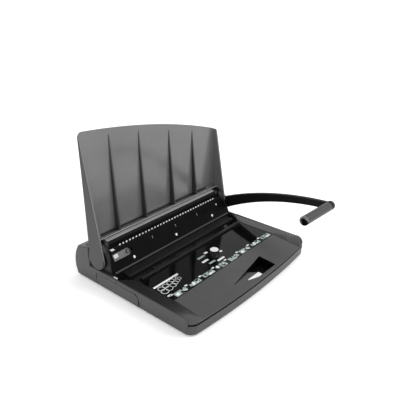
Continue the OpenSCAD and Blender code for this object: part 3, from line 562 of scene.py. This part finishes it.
# edge guide: a plate with soft edges
edgeStop = {"edge": (0.6, 3)}
stopPiece = copyNode("edge_guide", "edge_stop")
roundEdges(stopPiece, edgeStop["edge"], lambda e: e.turn > square)
finishPiece(stopPiece, "guide", greyAbsAndHighlight, ["edge_guide"])
print("shells softened")

# grip: soft sleeve, rounded where it meets the arm, and a hollow end plug, its rim painted grey as a
# highlight and its hole painted black as shade
grip = {"r": 9.5, "x": (92, 186), "y": -261.5, "z": 121.4, "points": 64,
        "endRound": (4, 5), "seamRound": (0.6, 2), "lift": -1.5, "back": -1.9}


def gripRod(pieceName, x):
    return addRod(pieceName, (sum(x) / 2, grip["y"], grip["z"]), grip["r"], x[1] - x[0],
                  grip["points"], lying=True)


def fromGrip(p):
    return math.hypot(p.y - grip["y"], p.z - grip["z"])


# the grip stands slightly askew: its free end is lifted and drawn back
def tiltGrip(piece):
    takeUp(piece)
    root = (grip["x"][1] * mm, grip["y"] * mm, grip["z"] * mm)
    for axis, angle in (("Y", grip["lift"]), ("Z", -grip["back"])):
        editAll()
        bpy.ops.transform.rotate(value=math.radians(angle), orient_axis=axis, center_override=root)
        toObject()


sleeve = gripRod("grip_sleeve", grip["x"])
roundEdges(sleeve, grip["endRound"], lambda e: e.mid.x > grip["x"][1] - near and e.turn > square)
roundEdges(sleeve, grip["seamRound"], lambda e: e.mid.x < grip["x"][0] + near and e.turn > square)
tiltGrip(sleeve)
finishPiece(sleeve, "lever", gripRubber, ["lever_grip"])

plug = {"x": (88, 92), "round": (2.2, 4), "rim": 3.6, "deep": 2.6, "outer": 9, "holeR": 6.9}
endPlug = gripRod("grip_plug", plug["x"])
pickFaces(endPlug, lambda at, n: n.x < -facing)
bpy.ops.mesh.inset(thickness=plug["rim"] * mm)
extrudeBy(plug["deep"], 0, 0)
roundEdges(endPlug, plug["round"], lambda e: e.mid.x < plug["x"][0] + near and e.turn > square
           and fromGrip(e.mid) > plug["outer"])
tiltGrip(endPlug)
# painted highlight: the plug in grey for the ring of light round its end
finishPiece(endPlug, "lever", greyAbsAndHighlight, ["grip_end_cap"])
# painted shade: the plug's hole in dull black
paintFaces(endPlug, absPanelAndShade, lambda at, n: fromGrip(at) < plug["holeR"])
print("grip made")

# selector knob: fluted body drawn in slightly at the top, white cap
knob = {"r": 9.4, "y": -117, "low": 33.4, "high": 49.8, "points": 48, "perFlute": 4, "fluteIn": 0.86,
        "taper": 0.94, "edge": (0.7, 3), "smooth": 25}
putDown()
bpy.ops.mesh.primitive_circle_add(vertices=knob["points"], radius=knob["r"] * mm,
    location=(0, knob["y"] * mm, knob["low"] * mm))
dial = settle("knob_body")
bpy.context.tool_settings.mesh_select_mode = (True, False, False)
for vert in dial.data.vertices:
    vert.select = vert.index % knob["perFlute"] < knob["perFlute"] / 2
bpy.ops.object.mode_set(mode="EDIT")
widen(knob["fluteIn"], knob["y"])
bpy.ops.mesh.select_all(action="SELECT")
bpy.ops.mesh.edge_face_add()
extrudeBy(0, 0, knob["high"] - knob["low"])
widen(knob["taper"], knob["y"])
bpy.ops.mesh.select_all(action="SELECT")
bpy.ops.mesh.normals_make_consistent(inside=False)
roundEdges(dial, knob["edge"], lambda e: e.mid.z > knob["high"] - near and e.turn > square)
finishPiece(dial, "selector", absKnob, ["selector_knob"], angle=knob["smooth"])

cap = {"r": 8.4, "z": (49.8, 50.6), "points": 48, "edge": (0.4, 3)}
capPiece = addRod("knob_disc", (0, knob["y"], sum(cap["z"]) / 2), cap["r"], cap["z"][1] - cap["z"][0],
                  cap["points"])
roundEdges(capPiece, cap["edge"], lambda e: e.mid.z > cap["z"][1] - near and e.turn > square)
finishPiece(capPiece, "selector", whiteAbsAndHighlight, ["knob_cap"])
print("selector made")

# wire hooks: one flat tongue with its tip bent forward, 34 times along the strip
hooks = {"count": 34, "pitch": 8.46667, "y": 0.33, "z": 77.4, "wide": 3.4, "thick": 1.6, "tall": 1.6,
         "tip": 1.1, "tipForward": 0.5, "tipTaper": 0.8, "edge": (0.35, 2), "edgeTurn": 25}
hook = addBlock("hook", (0, hooks["y"], hooks["z"] + hooks["tall"] / 2),
                (hooks["wide"], hooks["thick"], hooks["tall"]))
pickFaces(hook, lambda at, n: n.z > facing)
extrudeBy(0, -hooks["tipForward"], hooks["tip"])
widen(hooks["tipTaper"], hooks["y"] - hooks["tipForward"])
roundEdges(hook, hooks["edge"], lambda e: e.turn > hooks["edgeTurn"] and e.mid.z > hooks["z"] + near)
row = [placeCopy(hook, ((i - (hooks["count"] - 1) / 2) * hooks["pitch"] * mm, 0, 0))
       for i in range(hooks["count"])]
bpy.data.objects.remove(hook)
finishPiece(joinAll(row, "hook_row"), "chassis", hookWhite, ["hook_comb"])

# dark strip that the hooks stand on
strip = {"x": (-166, 166), "y": (-0.77, 4), "z": (76.6, 77.4), "edge": (0.25, 2)}
stripPiece = addSpan("hook_strip", strip)
roundEdges(stripPiece, strip["edge"], lambda e: e.turn > square and e.mid.z > strip["z"][0] + near)
finishPiece(stripPiece, "chassis", absBlackAndShade)
print("hooks made")

# panel: all that sits on it is modelled flat, then leant with it
panel = {"z": 78.2, "lean": 25.7}
panelTilt = 90 - panel["lean"]


def panelPoint(x, z):
    return (x * mm, -(panel["z"] - z) * math.tan(math.radians(panel["lean"])) * mm, z * mm)


def leanOn(piece, x, z):
    piece.location = panelPoint(x, z)
    piece.rotation_euler = (math.radians(panelTilt), 0, 0)
    return piece


# pan-head screw with a cross recess
screws = {"r": 3, "tall": 1.6, "points": 40, "crown": (0.7, 4),
          "crossLong": 3.4, "crossWide": 0.8, "crossDeep": 0.9, "turn": 15,
          "panelX": (-119, 0, 119), "panelZ": 48, "smallX": 143.7, "smallZ": 65, "small": 0.72,
          "panX": 160, "panY": (41.5, -175), "panZ": 2.5}
screw = addRod("screw", (0, 0, screws["tall"] / 2), screws["r"], screws["tall"], screws["points"])
roundEdges(screw, screws["crown"], lambda e: e.mid.z > screws["tall"] - near and e.turn > square)
for turn in (0, 90):
    putDown()
    bpy.ops.mesh.primitive_cube_add(size=1, location=(0, 0, screws["tall"] * mm),
        rotation=(0, 0, math.radians(turn)),
        scale=(screws["crossLong"] * mm, screws["crossWide"] * mm, 2 * screws["crossDeep"] * mm))
    cutter = bpy.context.object
    bpy.context.view_layer.objects.active = screw
    cross = screw.modifiers.new("cross", "BOOLEAN")
    cross.object = cutter
    cross.operation = "DIFFERENCE"
    bpy.ops.object.modifier_apply(modifier=cross.name)
    bpy.data.objects.remove(cutter)


def placeScrew(at, tilt, size=1):
    return placeCopy(screw, at, (tilt, 0, screws["turn"]), (size, size, size))


heads = [placeScrew(panelPoint(x, screws["panelZ"]), panelTilt) for x in screws["panelX"]]
heads.append(placeScrew(panelPoint(screws["smallX"], screws["smallZ"]), panelTilt, screws["small"]))
finishPiece(joinAll(heads, "panel_screw_heads"), "chassis", zincBrightAndGlint, ["panel_screws"])
under = [placeScrew((side * screws["panX"] * mm, y * mm, screws["panZ"] * mm), 180)
         for side in (-1, 1) for y in screws["panY"]]
finishPiece(joinAll(under, "pan_screw_heads"), "chassis", nickelSteel, ["base_screws"])
bpy.data.objects.remove(screw)
print("screws made")

# bar over the punch, its ends broken, its nose black in front of the grey band
barLook = {"edge": (0.5, 2), "half": 159.4, "bandY": 12}
barPiece = copyNode("top_bar", "bar_cover")
roundEdges(barPiece, barLook["edge"], lambda e: abs(e.mid.x) > barLook["half"] and e.turn > square)
finishPiece(barPiece, "chassis", greyEnamel, ["top_bar"])
paintFaces(barPiece, absPanelAndShade, lambda at, n: at.y < barLook["bandY"])

# ends beside the panel: black, the left one grey below the pivot
cheeks = {"edge": (0.5, 2), "outerX": 177, "edgeLow": 60, "greyTop": 58}
cheekPiece = copyNode("end_cheeks", "cheek_ends")
roundEdges(cheekPiece, cheeks["edge"], lambda e: abs(e.mid.x) > cheeks["outerX"] and e.turn > square
           and e.mid.z > cheeks["edgeLow"])
finishPiece(cheekPiece, "chassis", absBlackAndShade, ["end_cheeks"])
paintFaces(cheekPiece, absCharcoal, lambda at, n: at.x < 0 and at.z < cheeks["greyTop"])

# return spring: one wire section wound round the shaft
coil = {"x": -165.2, "turns": 16, "pitch": 1.95, "wire": 0.55, "wirePoints": 10, "r": 6.95, "steps": 20}
putDown()
bpy.ops.mesh.primitive_circle_add(vertices=coil["wirePoints"], radius=coil["wire"] * mm,
    location=(0, 0, coil["r"] * mm), rotation=(math.radians(90), 0, 0))
spring = settle("spring_coil")
spring.location = (coil["x"] * mm, pivot["y"] * mm, pivot["z"] * mm)
wind = spring.modifiers.new("wind", "SCREW")
wind.axis = "X"
wind.screw_offset = coil["pitch"] * mm
wind.iterations = coil["turns"]
wind.steps = coil["steps"]
wind.use_merge_vertices = False
bpy.ops.object.modifier_apply(modifier=wind.name)
editAll()
bpy.ops.mesh.normals_make_consistent(inside=False)
bpy.ops.mesh.select_mode(type="EDGE")
bpy.ops.mesh.select_all(action="DESELECT")
bpy.ops.mesh.select_non_manifold()
bpy.ops.mesh.fill()
toObject()
finishPiece(spring, "chassis", plainSteel, ["return_spring"])

# screw in the lever's hub: flat head with a round socket
hubScrew = {"r": 9, "x": (195, 197), "points": 48, "edge": (0.6, 3), "rim": 4.6, "deep": 1.3}
hubPiece = addRod("hub_screw", (sum(hubScrew["x"]) / 2, pivot["y"], pivot["z"]), hubScrew["r"],
                  hubScrew["x"][1] - hubScrew["x"][0], hubScrew["points"], lying=True)
pickFaces(hubPiece, lambda at, n: n.x > facing)
bpy.ops.mesh.inset(thickness=hubScrew["rim"] * mm)
extrudeBy(-hubScrew["deep"], 0, 0)
roundEdges(hubPiece, hubScrew["edge"], lambda e: e.mid.x > hubScrew["x"][1] - near and e.turn > square)
finishPiece(hubPiece, "lever", absBlackAndShade, ["lever_screw"])

# dial of the edge guide: dark ring with a hollow grey face, on its stem
ring = {"r": 4.5, "x": -130, "z": 63, "points": 40, "low": 2.6, "tall": 3, "rim": 1.3, "deep": 1.6,
        "edge": (0.5, 3), "stemR": 2, "stemLow": -4, "front": -0.8, "faceY": -11.4, "faceLean": 0.45}
stem = addRod("guide_dial", (0, 0, (ring["low"] + ring["stemLow"]) / 2), ring["stemR"],
              ring["low"] - ring["stemLow"], ring["points"])
pickFaces(stem, lambda at, n: n.z > facing)
extrudeBy(0, 0, 0)  # a new face, widened to the ring's underside
widen(ring["r"] / ring["stemR"], 0)
extrudeBy(0, 0, ring["tall"])
bpy.ops.mesh.inset(thickness=ring["rim"] * mm)
extrudeBy(0, 0, -ring["deep"])
roundEdges(stem, ring["edge"], lambda e: e.mid.z > ring["low"] + ring["tall"] - near and e.turn > square)
leanOn(stem, ring["x"], ring["z"])
finishPiece(stem, "guide", absBlackAndShade, ["guide_knob"])
paintFaces(stem, greyAbsAndHighlight, lambda at, n: n.y < ring["front"]
           and at.y < ring["faceY"] - ring["faceLean"] * (ring["z"] - at.z))
print("small parts made")


# low plate with rounded corners: a printed mark, a label or a pad
def addPlate(pieceName, at, size, corner, turn=0):
    plate = addBlock(pieceName, at, size, turn)
    roundEdges(plate, (corner, cornerSteps), lambda e: abs(e.along.z) > facing * e.along.length)
    return plate


# the same on the leaning panel
def addOnPanel(pieceName, x, z, lift, size, corner):
    return leanOn(addPlate(pieceName, (0, 0, lift + size[2] / 2), size, corner), x, z)


# panel: dark foot strip and three ticks
foot = {"z": 37.6, "size": (342, 3.2, 0.8), "corner": 0.4}
footStrip = addOnPanel("panel_foot", 0, foot["z"], 0, foot["size"], foot["corner"])
finishPiece(footStrip, "chassis", absRibAndShade)
ticks = {"x": (-61, 7, 76), "z": 64.5, "size": (0.8, 5.6, 0.12), "corner": 0.2}
tickRow = [addOnPanel("tick", x, ticks["z"], 0, ticks["size"], ticks["corner"]) for x in ticks["x"]]
finishPiece(joinAll(tickRow, "panel_ticks"), "chassis", inkPale)

# label on the edge guide, with three marks
tag = {"x": -158.4, "z": 64, "lift": 2.5, "size": (9, 6.6, 0.2), "corner": 0.4,
       "markX": (-160.6, -158.4, -156.2), "mark": (0.8, 4.4, 0.1), "markCorner": 0.2}
tagPiece = addOnPanel("guide_tag", tag["x"], tag["z"], tag["lift"], tag["size"], tag["corner"])
finishPiece(tagPiece, "guide", inkWhite)
tagMarks = [addOnPanel("mark", x, tag["z"], tag["lift"] + tag["size"][2], tag["mark"], tag["markCorner"])
            for x in tag["markX"]]
finishPiece(joinAll(tagMarks, "guide_tag_marks"), "guide", greyAbsAndHighlight)

# block at the row's end, with a label on top
endBlock = {"at": (-161.5, -3.6, 74.2), "size": (9, 8.4, 6.4), "corner": 1.2,
            "label": (7.6, 7, 0.2), "labelCorner": 0.6}
blockPiece = addPlate("row_end_block", endBlock["at"], endBlock["size"], endBlock["corner"])
finishPiece(blockPiece, "chassis", absBlackAndShade)
labelZ = endBlock["at"][2] + endBlock["size"][2] / 2 + endBlock["label"][2] / 2
blockTag = addPlate("row_end_label", (*endBlock["at"][:2], labelZ), endBlock["label"],
                    endBlock["labelCorner"])
finishPiece(blockTag, "chassis", inkWhite)

# painted highlight: a bright pad on the left rim where a glint shows
glint = {"at": (-178.9, -28.6, 35.4), "size": (3, 9.5, 1.6), "corner": 0.9}
glintPad = addPlate("rim_glint_pad", glint["at"], glint["size"], glint["corner"])
finishPiece(glintPad, "chassis", zincBrightAndGlint)

# painted shade: a dark strip along the foot of the lid's inside
lidShade = {"half": 156, "y": 34.1, "z": (87.5, 95.5), "thick": 0.8, "corner": 0.3}
lidShadePiece = addPlate("lid_foot_shade", (0, lidShade["y"], sum(lidShade["z"]) / 2),
                     (2 * lidShade["half"], lidShade["thick"], lidShade["z"][1] - lidShade["z"][0]), lidShade["corner"])
finishPiece(lidShadePiece, "lid", absRibAndShade)

# closer: three rounded posts on the moving jaw
posts = {"x": (-114, -51, 78), "y": -63.6, "z": 37.4, "r": 1.5, "tall": 2.2, "points": 24, "edge": (0.6, 3)}
post = addRod("post", (0, posts["y"], posts["z"] + posts["tall"] / 2), posts["r"], posts["tall"],
              posts["points"])
roundEdges(post, posts["edge"], lambda e: e.mid.z > posts["z"] + posts["tall"] - near and e.turn > square)
postRow = [placeCopy(post, (x * mm, 0, 0)) for x in posts["x"]]
bpy.data.objects.remove(post)
finishPiece(joinAll(postRow, "closer_posts"), "closer", darkSteel)
print("trim made")

# print on the tray: dashes round the selector, a chart of ring sizes, a strip of eight pictograms
ink = {"z": 33, "thick": 0.12, "over": 0.08}
overTall = ink["thick"] + ink["over"]  # what is printed over a patch
white, pale, black = [], [], []


# one mark of print, on the tray or over a patch
def addInk(group, x, y, size, corner, turn=0, over=False):
    tall = overTall if over else ink["thick"]
    group.append(addPlate("ink", (x, y, ink["z"] + tall / 2), (*size, tall), corner, turn))


# left end, right end and middle line of each dash
dashes = {"white": ((-3.4, 6, -94), (-32, -14.3, -113.4), (-7, 13.8, -131.6), (23.3, 30, -113)),
          "pale": ((-28.6, -8, -98.5), (-26, -8.6, -126.2)), "deep": 5, "corner": 1.2}
for group, rows in ((white, dashes["white"]), (pale, dashes["pale"])):
    for x0, x1, y in rows:
        addInk(group, (x0 + x1) / 2, y, (x1 - x0, dashes["deep"]), dashes["corner"])

# chart: two bars, and rings by place and radius, each with a smaller one behind it
chart = {"bars": ((-155, -92, -103.2, 4.6), (-156, -148, -139, 3.6)), "corner": 0.6,
         "r": 7.5, "points": 36, "line": 1.1, "backStep": (1, 10), "backScale": 0.87,
         "front": ((-148, -124.5, 7.5), (-136, -123.8, 7), (-124.5, -122.2, 6.2), (-116, -119.7, 5.4),
                   (-108, -117.5, 4.7), (-101, -115.4, 4))}
for x0, x1, y, deep in chart["bars"]:
    addInk(white, (x0 + x1) / 2, y, (x1 - x0, deep), chart["corner"])
putDown()
bpy.ops.mesh.primitive_circle_add(vertices=chart["points"], radius=chart["r"] * mm, fill_type="NGON")
hoop = bpy.context.object
pickFaces(hoop, lambda at, n: True)
bpy.ops.mesh.inset(thickness=chart["line"] * mm)
bpy.ops.mesh.delete(type="FACE")
bpy.ops.mesh.select_all(action="SELECT")
extrudeBy(0, 0, ink["thick"])
bpy.ops.mesh.select_all(action="SELECT")
bpy.ops.mesh.normals_make_consistent(inside=False)
toObject()
for x, y, r in chart["front"]:
    for back, scale in ((0, 1), (1, chart["backScale"])):
        size = r / chart["r"] * scale
        white.append(placeCopy(hoop, ((x + back * chart["backStep"][0]) * mm,
            (y + back * chart["backStep"][1]) * mm, ink["z"] * mm), size=(size, size, 1)))
bpy.data.objects.remove(hoop)

# pictograms of five kinds: tab, two pale patches, sheet of paper, two levers, block
tiles = {"count": 8, "first": -131, "pitch": 38.5, "y": -147, "tab": (6.4, 3.6), "tabAt": (-18, 6.5),
         "corner": 0.8, "lineCorner": 0.3, "blockCorner": 0.4}
sketch = {"patch": ((19, 12), (16, 11), (19, 10), (16, 13), (18, 11)),
          "patchAt": ((-5, 0), (6, 0), (-5, 1), (6, 0), (-5, -1)),
          "side": ((9, 9), (10, 7), (8, 11), (9, 8), (10, 8)),
          "sideAt": ((11, 1), (-9, -1), (10.5, 0), (-9, 1), (11, 0)), "sideTurn": (15, -20, 0, 25, -12),
          "sheet": ((8, 6), (5, 9), (10, 4), (7, 5), (4, 8)),
          "sheetAt": ((-8, -1), (-4, 0), (4, -3), (-10, 2), (9, 0)), "sheetTurn": (20, -25, 10, 45, -10),
          "lever": (13, 1.8), "whiteLeverAt": (8, -1), "blackLeverAt": (5, 2),
          "leverTurn": (35, -30, 10, 55, -50),
          "block": ((6, 5), (9, 3), (4, 7), (7, 4), (5, 5)),
          "blockAt": ((2, -3), (8, 3), (-8, 1), (6, -3), (-3, 3))}
for i in range(tiles["count"]):
    kind = i % len(sketch["sheet"])
    turn = sketch["leverTurn"][kind]
    marks = ((white, tiles["tabAt"], tiles["tab"], "corner", 0, False),
             (pale, sketch["patchAt"][kind], sketch["patch"][kind], "corner", 0, False),
             (pale, sketch["sideAt"][kind], sketch["side"][kind], "corner", sketch["sideTurn"][kind], False),
             (white, sketch["sheetAt"][kind], sketch["sheet"][kind], "lineCorner",
              sketch["sheetTurn"][kind], True),
             (white, sketch["whiteLeverAt"], sketch["lever"], "lineCorner", -turn, True),
             (black, sketch["blackLeverAt"], sketch["lever"], "lineCorner", turn, True),
             (black, sketch["blockAt"][kind], sketch["block"][kind], "blockCorner", 0, True))
    for group, at, size, corner, tilt, over in marks:
        addInk(group, tiles["first"] + i * tiles["pitch"] + at[0], tiles["y"] + at[1], size, tiles[corner],
               tilt, over)
finishPiece(joinAll(white, "print_white"), "chassis", inkWhite)
finishPiece(joinAll(pale, "print_pale"), "chassis", inkPale)
finishPiece(joinAll(black, "print_black"), "chassis", absBlackAndShade)
print("print made")

# studio: pale floor, white surround, two soft boxes; metres and watts
studio = {"floorSize": 12, "world": 1.04, "aim": (0, -0.05, 0.08),
          "key_soft": {"at": (1.3, -1.5, 1.7), "size": 1.4, "power": 20},
          "fill_soft": {"at": (-1.2, -1.4, 1.2), "size": 1.6, "power": 1}}
putDown()
bpy.ops.mesh.primitive_plane_add(size=studio["floorSize"])
floor = bpy.context.object
floor.name = "studio_floor"
# light table: white acrylic lit from below, so the object's shadow stays pale
floor.data.materials.append(makeSurface("acrylic_white_lit", {
    "dark": "#f9f9f9", "light": "#fcfcfc", "rough": (0.85, 0.95), "cloudMm": 400,
    "grainMm": 0.5, "grainStrength": 0.05, "grainDeepMm": 0.02, "glow": 0.17}))
world = bpy.data.worlds.new("studio")
world.use_nodes = True
world.node_tree.nodes["Background"].inputs["Color"].default_value = (1, 1, 1, 1)
world.node_tree.nodes["Background"].inputs["Strength"].default_value = studio["world"]
bpy.context.scene.world = world
for name in ("key_soft", "fill_soft"):
    at = studio[name]["at"]
    bpy.ops.object.light_add(type="AREA", location=at)
    lamp = bpy.context.object
    lamp.name = name
    lamp.data.size = studio[name]["size"]
    lamp.data.energy = studio[name]["power"]
    dx, dy, dz = (studio["aim"][i] - at[i] for i in range(3))
    lamp.rotation_euler = (math.atan2(math.hypot(dx, dy), -dz), 0, math.atan2(dx, -dy) + math.pi)

# camera fitted to the photograph's tooth row and edges
shot = {"at": (-0.6460, -0.6274, 0.5244), "pitch": 65.935, "yaw": -49.73, "lens": 43.07, "sensor": 36}
bpy.ops.object.camera_add(location=shot["at"],
    rotation=(math.radians(shot["pitch"]), 0, math.radians(shot["yaw"])))
cam = bpy.context.object
cam.name = "shot_camera"
cam.data.sensor_width = shot["sensor"]
cam.data.lens = shot["lens"]
bpy.context.scene.camera = cam
bpy.context.scene.view_settings.view_transform = "Standard"
print("studio and camera set")
